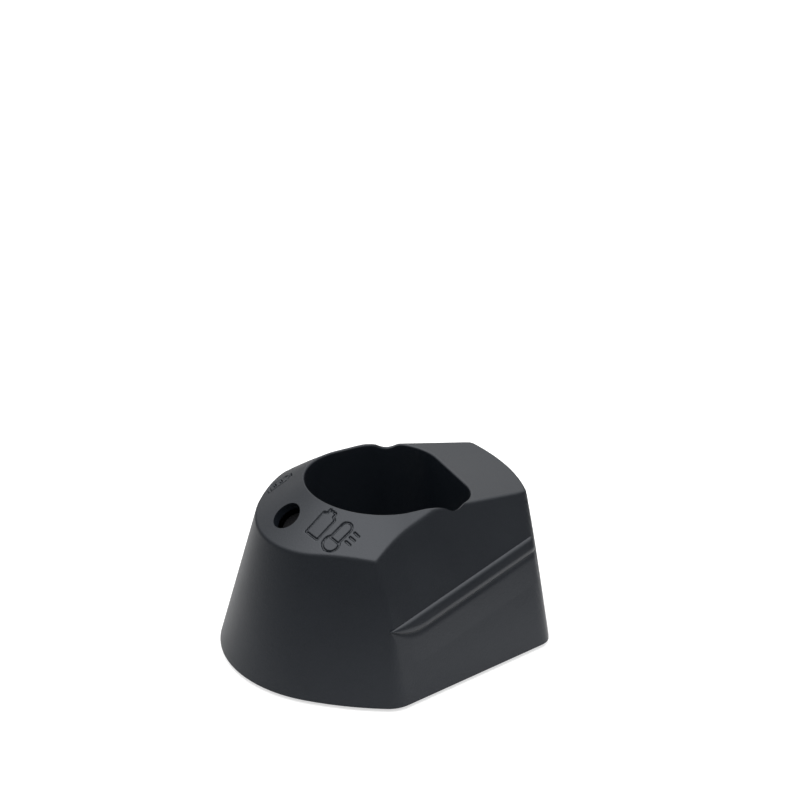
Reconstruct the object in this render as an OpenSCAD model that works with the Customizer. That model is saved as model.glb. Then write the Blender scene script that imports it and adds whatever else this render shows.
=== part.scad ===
// Desktop battery charger: a drafted housing with a battery well in its top, a base
// plate below it, and the power supply between them.
// Millimetres, +Z up. The origin is on the table under the middle of the footprint.
// -Y is the nose with the indicator, +Y the rear with the mains inlet, +X the right.

/* [Footprint] */
// Length of the housing at its rim, nose to rear
body_l = 82; // [80:0.5:86]
// Plan radius of the nose
nose_r = 32; // [30:0.5:34]
// Half of the angle that the nose arc covers
nose_a = 43; // [40:1:46]
// Plan radius of the flanks that run on from the nose
flank_r = 73; // [66:1:84]
// Distance of each side panel from the middle, at the rim
side_d = 32.5; // [32:0.1:34]
// Angle by which each side panel closes in towards the rear
side_a = 12.5; // [11:0.5:14]
// Plan radius of the rear wall
rear_r = 50; // [46:1:60]
// Radius of the corner between flank and side, at the rim
front_corner_r = 8; // [6:0.5:9]
// Radius of the corner between side and rear, at the rim
rear_corner_r = 4; // [3:0.5:5]

/* [Housing] */
// Lean of the nose, flanks and sides
draft_a = 14.7; // [14:0.1:15.5]
// Lean of the rear wall
rear_draft_a = 8; // [6:0.5:9]
// Height above the rim, over the middle, at which side panel and upper panel meet
crease_h = 20.55; // [19:0.05:22]
// Lean of each upper side panel
upper_lean_a = 20; // [19.5:0.5:21]
// Angle by which each upper side panel closes in towards the rear
upper_a = 11.9; // [11.5:0.1:12.3]
// Height of the rear roof above the rim, over the middle
roof_h = 43.1; // [42.5:0.1:44]
// Fall of the rear roof towards the rear
roof_a = 9; // [7:0.5:10]
// Height above the rim of the point of the cone that forms the indicator face
cone_h = 55.2; // [54.5:0.1:56]
// Slope of the indicator face
cone_a = 35; // [34:0.5:36]
// Place of the cone's axis along the length
cone_y = -2.9; // [-4:0.1:-2]
// Wall of the housing
wall = 2.2; // [1.8:0.1:2.4]
// How far the side ribs stand proud
rib_proud = 0.5; // [0.3:0.1:0.7]
// Width of a side rib
rib_w = 4.3; // [4:0.1:4.6]
// Distance of a rib's tip in front of the middle
rib_tip = 19.6; // [19:0.1:20]
// How far a rib's upper edge lies above the crease, at its tip
rib_over = 0.65; // [0.4:0.05:1]
// Rise of a rib towards the rear
rib_rise_a = 10.4; // [9.5:0.1:11]
// Gap between the rim and the table
rim_gap = 0.8; // [0.5:0.1:1]

/* [Battery well] */
// Radius of the front of the well
well_front_r = 17.5; // [17:0.1:17.8]
// Place of the well's front arc along the length
well_y = -1.2; // [-1.6:0.1:-0.8]
// Radius of the two rear lobes
well_lobe_r = 10; // [9.5:0.1:10.2]
// Distance of the lobes from the middle
well_lobe_x = 7.8; // [7.4:0.1:8]
// Distance of the lobes behind the front arc's centre
well_lobe_back = 10.8; // [10.2:0.1:11.2]
// Wall round the well
well_wall = 2; // [1.6:0.1:2.2]
// Height of the well's floor above the table
well_floor_z = 18; // [17.5:0.1:19]
// Thickness of the well's floor
well_floor_t = 1.8; // [1.4:0.1:2]
// Height of the contact blades above the well's floor
blade_h = 9; // [7:0.5:10]
// Width of a contact blade
blade_w = 5; // [4:0.1:5.2]
// Thickness of a contact blade
blade_t = 0.8; // [0.6:0.1:1]
// Spacing of the contact blades
blade_pitch = 6.6; // [6.2:0.1:7]
// Place of the row of blades along the length
blade_y = -4; // [-4.5:0.1:-3.5]

/* [Indicator] */
// Distance of the indicator hole in front of the middle
led_y = 25.7; // [25.3:0.1:26]
// Diameter of the indicator hole
led_d = 7.6; // [7:0.1:7.8]
// Depth of the indicator hole down to its lens
led_depth = 4; // [3.5:0.1:4.2]
// Thickness of the lens
lens_t = 1.6; // [1.2:0.1:1.8]
// Diameter of the light pipe below the lens
pipe_d = 3.4; // [3:0.1:3.6]
// Distance of the light pipe in front of the middle
pipe_y = 23.6; // [23.2:0.1:23.8]
// Diameter of the light-emitting diode
diode_d = 3; // [2.6:0.1:3.4]
// Height of the light-emitting diode
diode_h = 4.4; // [3.8:0.1:5]

/* [Base] */
// Thickness of the base plate
base_t = 2.5; // [2.3:0.1:3]
// How far the base plate sits above the table
base_z = 1.2; // [1.1:0.1:1.4]
// Diameter of a foot
foot_d = 9; // [8:0.5:10]
// Thickness of a foot
foot_t = 1.8; // [1.6:0.1:2]
// Distance of the front feet from the middle, across
foot_front_x = 17; // [15:0.5:18]
// Distance of the front feet behind the nose
foot_front_in = 19; // [18:0.5:21]
// Distance of the rear feet from the middle, across
foot_rear_x = 11; // [9:0.5:12]
// Distance of the rear feet in front of the rear end
foot_rear_in = 9; // [8:0.5:11]
// Width of a cooling slot
slot_w = 1.6; // [1.2:0.1:2]
// Length of the longest cooling slot
slot_l = 26; // [20:1:28]
// Spacing of the cooling slots
slot_pitch = 4; // [3.6:0.1:4.5]
// Cooling slots on each side of the middle one
slot_pairs = 3; // [2:1:4]

/* [Fasteners] */
// Diameter of a housing boss
boss_d = 6.4; // [5.8:0.1:6.8]
// Distance of the front bosses from the side panel's foot
boss_front_in = 10.8; // [10.4:0.1:11.2]
// Distance of the front bosses from the middle, along
boss_front_y = 13.5; // [13:0.1:14]
// Distance of the rear bosses from the side panel's foot
boss_rear_in = 9; // [8.6:0.1:9.4]
// Distance of the rear bosses in front of the rear end
boss_rear_back = 15; // [14.6:0.1:15.4]
// Height of the bosses above the table
boss_top_z = 34; // [30:1:36]
// Shank diameter of a housing screw
screw_d = 2.8; // [2.4:0.1:3]
// Length of a housing screw below its head
screw_l = 9; // [8:0.5:12]
// Head diameter of a housing screw
screw_head_d = 5.4; // [5:0.1:5.8]
// Head height of a housing screw
screw_head_h = 1.4; // [1.2:0.1:1.5]
// Diameter of a board standoff
standoff_d = 5.4; // [5:0.1:6]
// Height of a board standoff
standoff_h = 2; // [1.8:0.1:2.4]
// Shank diameter of a board screw
board_screw_d = 2; // [1.8:0.1:2.3]
// Length of a board screw below its head
board_screw_l = 4.5; // [4:0.1:5]
// Head diameter of a board screw
board_screw_head_d = 4; // [3.6:0.1:4.4]
// Head height of a board screw
board_screw_head_h = 1.3; // [1:0.1:1.6]

/* [Board] */
// Thickness of the circuit board
board_t = 1.6; // [1.4:0.1:1.8]
// Clearance of the board from the housing wall
board_gap = 1.2; // [0.8:0.1:1.6]
// Thickness of the insulation sheet
sheet_t = 0.3; // [0.2:0.1:0.5]
// Width of the mains inlet
inlet_w = 20; // [19:0.1:21]
// Height of the mains inlet
inlet_h = 12; // [11.5:0.1:12.5]
// Depth of the mains inlet
inlet_l = 15.4; // [15:0.1:15.8]
// How far the inlet's face lies inside the housing's rear end
inlet_in = 2.6; // [2.4:0.1:2.8]
// Radius of each round of the inlet's figure-eight recess
socket_r = 4.2; // [4:0.1:4.4]
// Spacing of the two rounds and of the two pins
socket_pitch = 8.4; // [8:0.1:8.6]
// Depth of the inlet's recess
socket_depth = 12; // [11:0.1:12.5]
// How far the pins' points lie inside the inlet's face
pin_in = 2.6; // [2:0.1:4]
// Diameter of an inlet pin
pin_d = 2.4; // [2.2:0.1:2.6]
// Diameter of a pin's solder tail
tail_d = 1.2; // [1:0.1:1.4]
// Width of the terminal block
block_w = 27; // [25:0.5:28]
// Depth of the terminal block
block_l = 8; // [7:0.5:9]
// Width of the transformer
trafo_w = 15; // [14:0.5:16]
// Depth of the transformer
trafo_l = 15; // [14:0.5:15.5]
// Height of the transformer
trafo_h = 8.2; // [7.5:0.1:8.4]
// Width of the transformer's outer legs
trafo_leg = 2.2; // [1.8:0.1:2.6]
// Diameter of the transformer's middle leg
trafo_core_d = 4.6; // [4:0.1:5]
// Diameter of the input capacitor
input_cap_d = 8; // [7:0.1:8.4]
// Length of the input capacitor, which lies on the board
input_cap_l = 14; // [12:0.5:14.5]
// Diameter of an output capacitor
output_cap_d = 8; // [7:0.1:8.2]
// Height of an output capacitor
output_cap_h = 8.4; // [7.5:0.1:8.6]
// Outer diameter of the suppression choke
choke_d = 10.6; // [10:0.1:11]
// Height of the suppression choke
choke_h = 6; // [5:0.1:7]
// Width of the suppression choke's wound ring
choke_w = 4.2; // [3.5:0.1:4.6]
// Diameter of the fuse
fuse_d = 8; // [7:0.1:8.4]
// Height of the fuse
fuse_h = 7.4; // [6.5:0.1:8]
// Thickness of the heat sink
sink_t = 1.2; // [1:0.1:1.5]
// Height of the heat sink
sink_h = 8.6; // [7.5:0.1:8.8]
// Length of the heat sink
sink_l = 10; // [9:0.1:10.2]
// Thickness of the switching transistor
transistor_t = 2.4; // [2.2:0.1:2.6]
// Diameter of the safety capacitor
safety_d = 8; // [7:0.1:8.4]
// Thickness of the safety capacitor
safety_t = 3.4; // [3:0.1:3.8]

/* [Hidden] */

// Clearances and small standing values
fit = 0.2;          // between pieces that slip into each other
bore_fit = 0.1;     // round a pin or a screw in its bore
seat_fit = 0.3;     // under a piece that must not press on its neighbour
cut = 1;            // overshoot of a cutting shape
big = 200;          // larger than the whole charger
thin = 0.01;        // slab that a hull is stretched over
least_corner_r = 0.4;
below_rim = 4;      // how far the drafted form runs on below the rim

// Half width of the housing at its rim, between the side panels
function side_x(y) = (side_d - y * sin(side_a)) / cos(side_a);

// Distance of each upper side panel from the middle, taken down to the rim, so that it
// meets the side panel at the crease's height
upper_d = side_d * cos(upper_a) / cos(side_a)
    + crease_h * (tan(upper_lean_a) - tan(draft_a) * cos(upper_a) / cos(side_a));

// Height of the crease above the rim at a place along the length
function crease_z(y) = (upper_d - y * sin(upper_a) - side_x(y) * cos(upper_a))
    / (tan(upper_lean_a) - tan(draft_a) * cos(upper_a) / cos(side_a));

// Distance of a rib's tip up the upper panel, from the panel's foot of perpendicular
rib_up = crease_z(-rib_tip) / cos(upper_lean_a) - upper_d * sin(upper_lean_a) + rib_over;

// Heights
base_top = base_z + base_t;
board_z = base_top + standoff_h;
board_top = board_z + board_t;
floor_under = well_floor_z - well_floor_t;
form_top = cone_h;

// Directions of the nose arc's and the flanks' centres
nose_y = -body_l / 2 + nose_r;
flank_x = (flank_r - nose_r) * sin(nose_a);
flank_y = nose_y + (flank_r - nose_r) * cos(nose_a);
rear_y = body_l / 2 - rear_r;

// Height above the rim at which the front corners have run out into an edge
corner_end = (front_corner_r - least_corner_r) / tan(draft_a);

// Indicator: point on the cone, above the table
led_z = rim_gap + cone_h - (led_y + cone_y) * tan(cone_a);

nose_end = -body_l / 2;
rear_end = body_l / 2;
boss_rear_y = rear_end - boss_rear_back;
boss_places = [for (s = [-1, 1]) each [
    [s * (side_x(-boss_front_y) - boss_front_in), -boss_front_y],
    [s * (side_x(boss_rear_y) - boss_rear_in), boss_rear_y]]];
foot_places = [for (s = [-1, 1]) each [[s * foot_front_x, nose_end + foot_front_in],
    [s * foot_rear_x, rear_end - foot_rear_in]]];
standoff_front = [5.2, 10];     // across, and behind the nose
standoff_rear = [7.6, 14];        // inside the side panel's foot, and behind the middle
standoff_places = [for (s = [-1, 1]) each [
    [s * standoff_front[0], nose_end + standoff_front[1]],
    [s * (side_x(standoff_rear[1]) - standoff_rear[0]), standoff_rear[1]]]];

// Places of the board's components
inlet_face_y = rear_end - inlet_in;
inlet_back = inlet_face_y - inlet_l;
inlet_z = board_top;
pin_z = inlet_z + inlet_h / 2;
fuse_at = [-13.6, 17];
choke_at = [-10.4, 5.6];
line_cap_at = [-18.4, 6.8];
line_cap_size = [5, 10, 8];
bridge_at = [-15.5, -10.9];
bridge_size = [6, 4.6, 2.6];
input_cap_in = 10.6;            // from the nose's foot in to the capacitor's axis
input_cap_turn = 41;            // round the nose, from its middle
output_cap_x = [10.6, 17.4];
output_cap_in = [15.2, 21.8];   // behind the nose
output_cap_at = [for (i = [0, 1]) [output_cap_x[i], nose_end + output_cap_in[i]]];
sink_in = 11.8;                 // inside the side panel's foot
sink_y = -3.4;
sink_at = [sink_in - side_x(sink_y), sink_y];
transistor_size = [6.6, 6.2];
trafo_in = 3.6;                 // from the inlet's back to the transformer
trafo_at = [3.2, inlet_back - trafo_in - trafo_l / 2];
trafo_foot = 1.2;               // bobbin below and above the core
safety_at = [-4.6, -13.4];
opto_at = [5, -13.4];
opto_size = [6.4, 4.6, 3.4];
rectifier_at = [18.6, -6.4];
rectifier_size = [7, 6, 2.3];
controller_at = [19, 3];
controller_size = [6, 10, 1.6];
module_lead = 0.5;  // gull-wing lead thickness

blade_x = [for (i = [0:3]) (i - 1.5) * blade_pitch];

// ---- Outline and form -------------------------------------------------------

// Rounds the convex corners of a flat shape
module rounded(r, fn) {
    offset(r = r, $fn = fn) offset(delta = -r) children();
}

// Nose and flanks: two large discs, their common tip rounded to the nose radius
module nose_and_flanks(in) {
    rounded(nose_r - in, 96)
        intersection() {
            for_flank(1, in);
            for_flank(-1, in);
        }
}

module for_flank(s, in) {
    translate([s * flank_x, flank_y]) circle(r = flank_r - in, $fn = 180);
}

// The wedge between two panels at distance d from the middle, closing in by angle a
module wedge(d, a) {
    front = (d + big * sin(a)) / cos(a);
    rear = (d - body_l * sin(a)) / cos(a);
    polygon([[-front, -big], [front, -big], [rear, body_l], [-rear, body_l]]);
}

// The housing's outline at height z above the rim, with its faces moved in
module section(z, inset = 0) {
    in = z * tan(draft_a) + inset / cos(draft_a);
    rear_in = z * tan(rear_draft_a) + inset / cos(rear_draft_a);
    rounded(max(rear_corner_r - in, least_corner_r), 32)
        intersection() {
            rounded(max(front_corner_r - in, least_corner_r), 40)
                intersection() {
                    nose_and_flanks(in);
                    wedge(side_d - in, side_a);
                }
            translate([0, rear_y]) circle(r = rear_r - rear_in, $fn = 120);
        }
}

// What fits inside the housing at height z: the outline, also within the upper panels
module inner_section(z, inset) {
    intersection() {
        section(z, inset);
        wedge(upper_d - z * tan(upper_lean_a) - inset / cos(upper_lean_a), upper_a);
    }
}

function cone_top(inset) = cone_h - inset / cos(cone_a) + below_rim + cut;

// Everything on the inner side of a plane at distance d from the rim's middle
module inside_plane(d, lean, turn) {
    rotate([0, -lean, turn])
        translate([d - big, -big / 2, -big / 2]) cube(big);
}

module slab_at(z, inset) {
    translate([0, 0, z]) linear_extrude(thin) section(z, inset);
}

// The drafted body: nose, flanks, sides and rear, before the roof is cut
module drafted_body(inset) {
    hull() {
        slab_at(-below_rim, inset);
        slab_at(max(corner_end - inset / sin(draft_a), 0), inset);
        slab_at(form_top, inset);
    }
}

// The cone of the indicator face
module indicator_cone(inset) {
    translate([0, cone_y, -below_rim - cut])
        cylinder(h = cone_top(inset), r1 = cone_top(inset) / tan(cone_a), r2 = 0,
            $fn = 96);
}

// The gable that carries the cone's flanks on to the rear
module indicator_gable(inset) {
    h = cone_top(inset);
    r = h / tan(cone_a);
    translate([0, cone_y, -below_rim - cut])
        rotate([90, 0, 180])
            linear_extrude(body_l) polygon([[-r, 0], [r, 0], [0, h]]);
}

// Everything below the roof planes, with the planes moved in by inset
module under_roof_planes(inset) {
    intersection() {
        inside_plane(upper_d * cos(upper_lean_a) - inset, upper_lean_a, upper_a);
        mirror([1, 0, 0])
            inside_plane(upper_d * cos(upper_lean_a) - inset, upper_lean_a, upper_a);
        inside_plane(roof_h * cos(roof_a) - inset, 90 - roof_a, 90);
    }
}

// The housing's whole form above the rim, with all faces moved in by inset
module form(inset = 0) {
    intersection() {
        drafted_body(inset);
        under_roof_planes(inset);
        hull() {
            indicator_cone(inset);
            indicator_gable(inset);
        }
    }
}

module above_table() {
    translate([0, 0, rim_gap]) children();
}

// The form, cut off at the rim
module outer_skin() {
    difference() {
        above_table() form();
        translate([-big / 2, -big / 2, rim_gap - big]) cube(big);
    }
}

// ---- Well --------------------------------------------------------------------

// Well: a large front arc and two rear lobes
module well_outline(grow = 0) {
    hull() {
        translate([0, well_y]) circle(r = well_front_r + grow, $fn = 128);
        for (s = [-1, 1])
            translate([s * well_lobe_x, well_y + well_lobe_back])
                circle(r = well_lobe_r + grow, $fn = 96);
    }
}

module blade_slots() {
    for (x = blade_x)
        translate([x, blade_y, floor_under - cut])
            linear_extrude(well_floor_t + 2 * cut)
                square([blade_t + 2 * fit, blade_w + 2 * fit], center = true);
}

// ---- Upper housing -------------------------------------------------------------

// Side rib: a flat strip parallel to the upper panel and a little proud of it, from a
// boat-shaped tip behind the front corner to the rear corner. Drawn in the panel's own
// plane, along it and up it
module side_rib() {
    rise = tan(rib_rise_a);
    far = body_l / 2;
    rotate([0, -upper_lean_a, upper_a])
        translate([upper_d * cos(upper_lean_a) + rib_proud - wall, 0, 0])
            rotate([90, 0, 90])
                linear_extrude(wall)
                    polygon([[-rib_tip, rib_up],
                        [-rib_tip + rib_w, rib_up - rib_w / 2],
                        [-rib_tip + 2 * rib_w, rib_up + 2 * rib_w * rise - rib_w],
                        [far, rib_up + (far + rib_tip) * rise - rib_w],
                        [far, rib_up + (far + rib_tip) * rise]]);
}

// The ribs end at the rear wall
module rib_limit() {
    reach = rear_r - rib_proud;
    translate([0, rear_y, 0])
        cylinder(h = roof_h, r1 = reach, r2 = reach - roof_h * tan(rear_draft_a),
            $fn = 180);
}

module screw_bosses() {
    for (p = boss_places)
        translate([p[0], p[1], base_top])
            cylinder(h = boss_top_z - base_top, d = boss_d, $fn = 48);
}

// Frame of the indicator hole: its origin on the cone, its z axis along the hole
module at_indicator() {
    translate([0, -led_y, led_z]) rotate([cone_a, 0, 0]) children();
}

// The cavity, less what stands in it: the well's wall, the bosses and the tube of the
// indicator hole
module cavity() {
    difference() {
        above_table() form(wall);
        translate([0, 0, floor_under])
            linear_extrude(form_top) well_outline(well_wall);
        screw_bosses();
        at_indicator()
            translate([0, 0, -led_depth - lens_t])
                cylinder(h = led_depth + wall, d = led_d + 2 * well_wall, $fn = 64);
    }
}

module side_ribs() {
    above_table()
        intersection() {
            union() {
                side_rib();
                mirror([1, 0, 0]) side_rib();
            }
            rib_limit();
        }
}

module boss_bores() {
    for (p = boss_places)
        translate([p[0], p[1], base_top - cut])
            cylinder(h = screw_l + cut, d = screw_d - bore_fit, $fn = 32);
}

module indicator_hole() {
    at_indicator()
        translate([0, 0, -led_depth - lens_t - cut])
            cylinder(h = led_depth + lens_t + 3 * cut, d = led_d, $fn = 64);
}

module inlet_cutout() {
    translate([-inlet_w / 2 - fit, inlet_back, inlet_z - fit])
        cube([inlet_w + 2 * fit, inlet_l + 4 * cut, inlet_h + 2 * fit]);
}

module upper_housing() {
    color([0.15, 0.16, 0.17])
        difference() {
            union() {
                outer_skin();
                side_ribs();
            }
            cavity();
            translate([0, 0, well_floor_z]) linear_extrude(big) well_outline();
            blade_slots();
            boss_bores();
            indicator_hole();
            inlet_cutout();
        }
}

// ---- Base ------------------------------------------------------------------------

module cooling_slots() {
    for (i = [-slot_pairs:slot_pairs])
        translate([i * slot_pitch, 0, base_z - cut])
            linear_extrude(base_t + 2 * cut)
                hull()
                    for (s = [-1, 1])
                        translate([0, s * (slot_l - abs(i) * slot_pitch) / 2])
                            circle(d = slot_w, $fn = 24);
}

module base_plate() {
    color([0.17, 0.18, 0.19])
        difference() {
            union() {
                translate([0, 0, base_z])
                    linear_extrude(base_t)
                        inner_section(base_top - rim_gap, wall + fit);
                for (p = standoff_places)
                    translate([p[0], p[1], base_top - thin])
                        cylinder(h = standoff_h + thin, d = standoff_d, $fn = 48);
            }
            for (p = foot_places)
                translate([p[0], p[1], base_z - cut])
                    cylinder(h = foot_t - base_z + cut, d = foot_d + fit, $fn = 64);
            for (p = boss_places) {
                translate([p[0], p[1], base_z - cut])
                    cylinder(h = base_t + 2 * cut, d = screw_d + 2 * fit, $fn = 32);
                translate([p[0], p[1], base_z - cut])
                    cylinder(h = screw_head_h + cut, d = screw_head_d + 2 * fit,
                        $fn = 48);
            }
            for (p = standoff_places)
                translate([p[0], p[1], board_top - board_screw_l - fit])
                    cylinder(h = board_screw_l + cut, d = board_screw_d, $fn = 32);
            cooling_slots();
        }
}

module rubber_feet() {
    color([0.1, 0.1, 0.1])
        for (p = foot_places)
            translate([p[0], p[1], 0]) cylinder(h = foot_t, d = foot_d, $fn = 64);
}

module housing_screws() {
    color([0.7, 0.7, 0.72])
        for (p = boss_places)
            translate([p[0], p[1], base_z]) {
                cylinder(h = screw_head_h, d = screw_head_d, $fn = 48);
                cylinder(h = screw_head_h + screw_l, d = screw_d - 2 * bore_fit,
                    $fn = 32);
            }
}

// ---- Board -------------------------------------------------------------------------

// Board and sheet are notched round the bosses, from their edge in
module board_outline() {
    difference() {
        inner_section(board_top - rim_gap, wall + board_gap);
        for (p = boss_places)
            hull()
                for (out = [0, boss_d])
                    translate([p[0] + sign(p[0]) * out, p[1]])
                        circle(d = boss_d + 2 * seat_fit, $fn = 48);
    }
}

module circuit_board() {
    color([0.12, 0.4, 0.2])
        translate([0, 0, board_z])
            linear_extrude(board_t)
                difference() {
                    board_outline();
                    for (p = standoff_places)
                        translate(p) circle(d = board_screw_d + fit, $fn = 32);
                    for (s = [-1, 1])
                        translate([s * socket_pitch / 2, inlet_back - tail_d])
                            circle(d = tail_d + fit, $fn = 24);
                }
}

module board_screws() {
    color([0.75, 0.72, 0.6])
        for (p = standoff_places)
            translate([p[0], p[1], board_top]) {
                cylinder(h = board_screw_head_h, d = board_screw_head_d, $fn = 32);
                translate([0, 0, -board_screw_l])
                    cylinder(h = board_screw_l + thin, d = board_screw_d - bore_fit,
                        $fn = 32);
            }
}

module insulation_sheet() {
    color([0.85, 0.8, 0.6])
        translate([0, 0, base_top])
            linear_extrude(sheet_t)
                difference() {
                    board_outline();
                    for (p = standoff_places)
                        translate(p) circle(d = standoff_d + 2 * fit, $fn = 48);
                }
}

// ---- Mains side ------------------------------------------------------------------------

module mains_inlet() {
    color([0.08, 0.08, 0.09])
        difference() {
            translate([-inlet_w / 2, inlet_back, inlet_z])
                cube([inlet_w, inlet_l, inlet_h]);
            translate([0, inlet_face_y, pin_z])
                rotate([90, 0, 0])
                    translate([0, 0, -cut])
                        linear_extrude(socket_depth + cut) socket_outline();
            for (s = [-1, 1])
                translate([s * socket_pitch / 2, inlet_back - cut, pin_z])
                    rotate([-90, 0, 0])
                        cylinder(h = inlet_l, d = pin_d + bore_fit, $fn = 32);
        }
}

// Figure-eight opening: two rounds joined by a slightly lower bridge
module socket_outline() {
    waist = 2 * socket_r * cos(30);
    for (s = [-1, 1])
        translate([s * socket_pitch / 2, 0]) circle(r = socket_r, $fn = 64);
    square([socket_pitch, waist], center = true);
}

module inlet_pins() {
    pin_front = inlet_face_y - pin_in;
    pin_back = inlet_back - tail_d / 2;
    color([0.8, 0.75, 0.55])
        for (s = [-1, 1])
            translate([s * socket_pitch / 2, 0, 0]) {
                translate([0, pin_back - tail_d / 2, pin_z])
                    rotate([-90, 0, 0])
                        cylinder(h = pin_front - pin_back + tail_d / 2, d = pin_d,
                            $fn = 32);
                translate([0, inlet_back - tail_d, board_z - cut])
                    cylinder(h = pin_z - board_z + cut, d = tail_d, $fn = 24);
            }
}

// A component's body standing on the board
module on_board(at, turn = 0) {
    translate([at[0], at[1], board_top]) rotate([0, 0, turn]) children();
}

module block(size) {
    translate([-size[0] / 2, -size[1] / 2, 0]) cube(size);
}

// A moulded chip: a bevelled body over two rows of flat leads
module chip(size, leads) {
    lift = module_lead;
    body_share = 0.72;
    body = [size[0] * body_share, size[1], size[2] - lift];
    translate([0, 0, lift]) block(body);
    pitch = size[1] / leads;
    for (i = [0:leads - 1])
        translate([-size[0] / 2, (i - (leads - 1) / 2) * pitch - pitch / 4, 0])
            cube([size[0], pitch / 2, lift + thin]);
}

// An electrolytic capacitor: a can with a crimped groove and a vent in its top
module can(d, h) {
    groove_z = 1.4;
    groove_r = 0.5;
    vent_w = 0.4;
    vent_l = d * 0.64;
    difference() {
        cylinder(h = h, d = d, $fn = 64);
        translate([0, 0, groove_z])
            rotate_extrude($fn = 64)
                translate([d / 2 + groove_r / 2, 0]) circle(r = groove_r, $fn = 24);
        for (a = [0, 90])
            rotate([0, 0, a])
                translate([-vent_l / 2, -vent_w / 2, h - vent_w / 2])
                    cube([vent_l, vent_w, vent_w]);
    }
}

module fuse() {
    color([0.35, 0.2, 0.12])
        on_board(fuse_at) {
            cylinder(h = fuse_h, d = fuse_d, $fn = 64);
        }
}

module suppression_choke() {
    color([0.55, 0.32, 0.15])
        on_board(choke_at)
            translate([0, 0, choke_h / 2])
                rotate_extrude($fn = 64)
                    translate([(choke_d - choke_w) / 2, 0])
                        rounded_bar(choke_w, choke_h);
}

module rounded_bar(w, h) {
    r = w / 3;
    for (x = [-1, 1])
        for (y = [-1, 1])
            translate([x * (w / 2 - r), y * (h / 2 - r)]) circle(r = r, $fn = 24);
    square([w, h - 2 * r], center = true);
    square([w - 2 * r, h], center = true);
}

module line_capacitor() {
    color([0.85, 0.7, 0.15]) on_board(line_cap_at) block(line_cap_size);
}

module bridge_rectifier() {
    color([0.1, 0.1, 0.1]) on_board(bridge_at) chip(bridge_size, 2);
}

// It lies along the nose's wall, under the level of the well
module input_capacitor() {
    color([0.15, 0.18, 0.3])
        translate([0, nose_y, board_top + input_cap_d / 2])
            rotate([0, 0, -input_cap_turn])
                translate([-input_cap_l / 2, input_cap_in - nose_r, 0])
                    rotate([0, 90, 0]) can(input_cap_d, input_cap_l);
}

// Upright aluminium plate with a bent foot
module heat_sink() {
    foot = 4;
    color([0.75, 0.76, 0.78])
        on_board(sink_at) {
            translate([-sink_t / 2, -sink_l / 2, 0]) cube([sink_t, sink_l, sink_h]);
            translate([-sink_t / 2, -sink_l / 2, 0]) cube([foot, sink_l, sink_t]);
        }
}

module switching_transistor() {
    lift = 2;
    legs = 3;
    leg_t = 0.7;
    leg_pitch = 2.3;
    color([0.12, 0.12, 0.13])
        on_board([sink_at[0] - sink_t / 2 - transistor_t, sink_at[1]]) {
            translate([0, -transistor_size[0] / 2, lift])
                cube([transistor_t, transistor_size[0], transistor_size[1]]);
            for (i = [0:legs - 1])
                translate([transistor_t / 2, (i - 1) * leg_pitch - leg_t / 2, 0])
                    cube([leg_t, leg_t, lift + thin]);
        }
}

// ---- Transformer ------------------------------------------------------------------------

module transformer_core() {
    window_w = trafo_w - 2 * trafo_leg;
    window_l = trafo_l - 2 * trafo_leg;
    color([0.28, 0.28, 0.3])
        on_board(trafo_at)
            translate([0, 0, trafo_foot])
                linear_extrude(trafo_h - 2 * trafo_foot) {
                    difference() {
                        square([trafo_w, trafo_l], center = true);
                        square([window_w, window_l], center = true);
                    }
                    square([trafo_core_d, window_l + trafo_leg], center = true);
                }
}

module transformer_winding() {
    window_w = trafo_w - 2 * trafo_leg - 2 * fit;
    window_l = trafo_l - 2 * trafo_leg - 2 * fit;
    flange = 1;
    color([0.75, 0.65, 0.2])
        on_board(trafo_at)
            difference() {
                union() {
                    linear_extrude(trafo_h)
                        offset(r = flange, $fn = 24)
                            square([window_w - 2 * flange, window_l - 2 * flange],
                                center = true);
                    linear_extrude(trafo_foot - bore_fit)
                        square([trafo_w, trafo_l], center = true);
                }
                translate([0, 0, trafo_foot - bore_fit])
                    linear_extrude(trafo_h - 2 * trafo_foot + 2 * bore_fit)
                        square([trafo_core_d + 2 * bore_fit, trafo_l], center = true);
            }
}

// ---- Battery side --------------------------------------------------------------------------

module safety_capacitor() {
    legs = 0.8;
    color([0.2, 0.35, 0.65])
        on_board(safety_at) {
            translate([0, safety_t / 2, safety_d / 2 + legs / 2])
                rotate([90, 0, 0]) cylinder(h = safety_t, d = safety_d, $fn = 64);
            for (s = [-1, 1])
                translate([s * safety_d / 4, 0, 0])
                    cylinder(h = safety_d / 4, d = legs, $fn = 24);
        }
}

module optocoupler() {
    color([0.9, 0.9, 0.88]) on_board(opto_at, 90) chip(opto_size, 2);
}

module output_rectifier() {
    color([0.1, 0.1, 0.1]) on_board(rectifier_at) chip(rectifier_size, 1);
}

module output_capacitors() {
    color([0.1, 0.25, 0.2])
        for (p = output_cap_at) on_board(p) can(output_cap_d, output_cap_h);
}

module charge_controller() {
    leads = 8;
    color([0.1, 0.1, 0.1]) on_board(controller_at) chip(controller_size, leads);
}

module blade_seats() {
    for (x = blade_x)
        translate([x, blade_y]) square([blade_t, blade_w], center = true);
}

module terminal_block() {
    h = floor_under - board_top - fit;
    color([0.2, 0.2, 0.22])
        translate([0, 0, board_top])
            linear_extrude(h)
                difference() {
                    translate([0, blade_y]) square([block_w, block_l], center = true);
                    blade_seats();
                }
}

// A blade stands on the board inside its seat and ends in a chamfered tip
module blade(i) {
    top = well_floor_z + blade_h;
    tip = blade_w * 0.2;
    translate([blade_x[i] + blade_t / 2, blade_y, board_top])
        rotate([90, 0, -90])
            linear_extrude(blade_t)
                polygon([[-blade_w / 2, 0], [blade_w / 2, 0],
                    [blade_w / 2, top - board_top - tip],
                    [blade_w / 2 - tip, top - board_top],
                    [-blade_w / 2 + tip, top - board_top],
                    [-blade_w / 2, top - board_top - tip]]);
}

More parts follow.
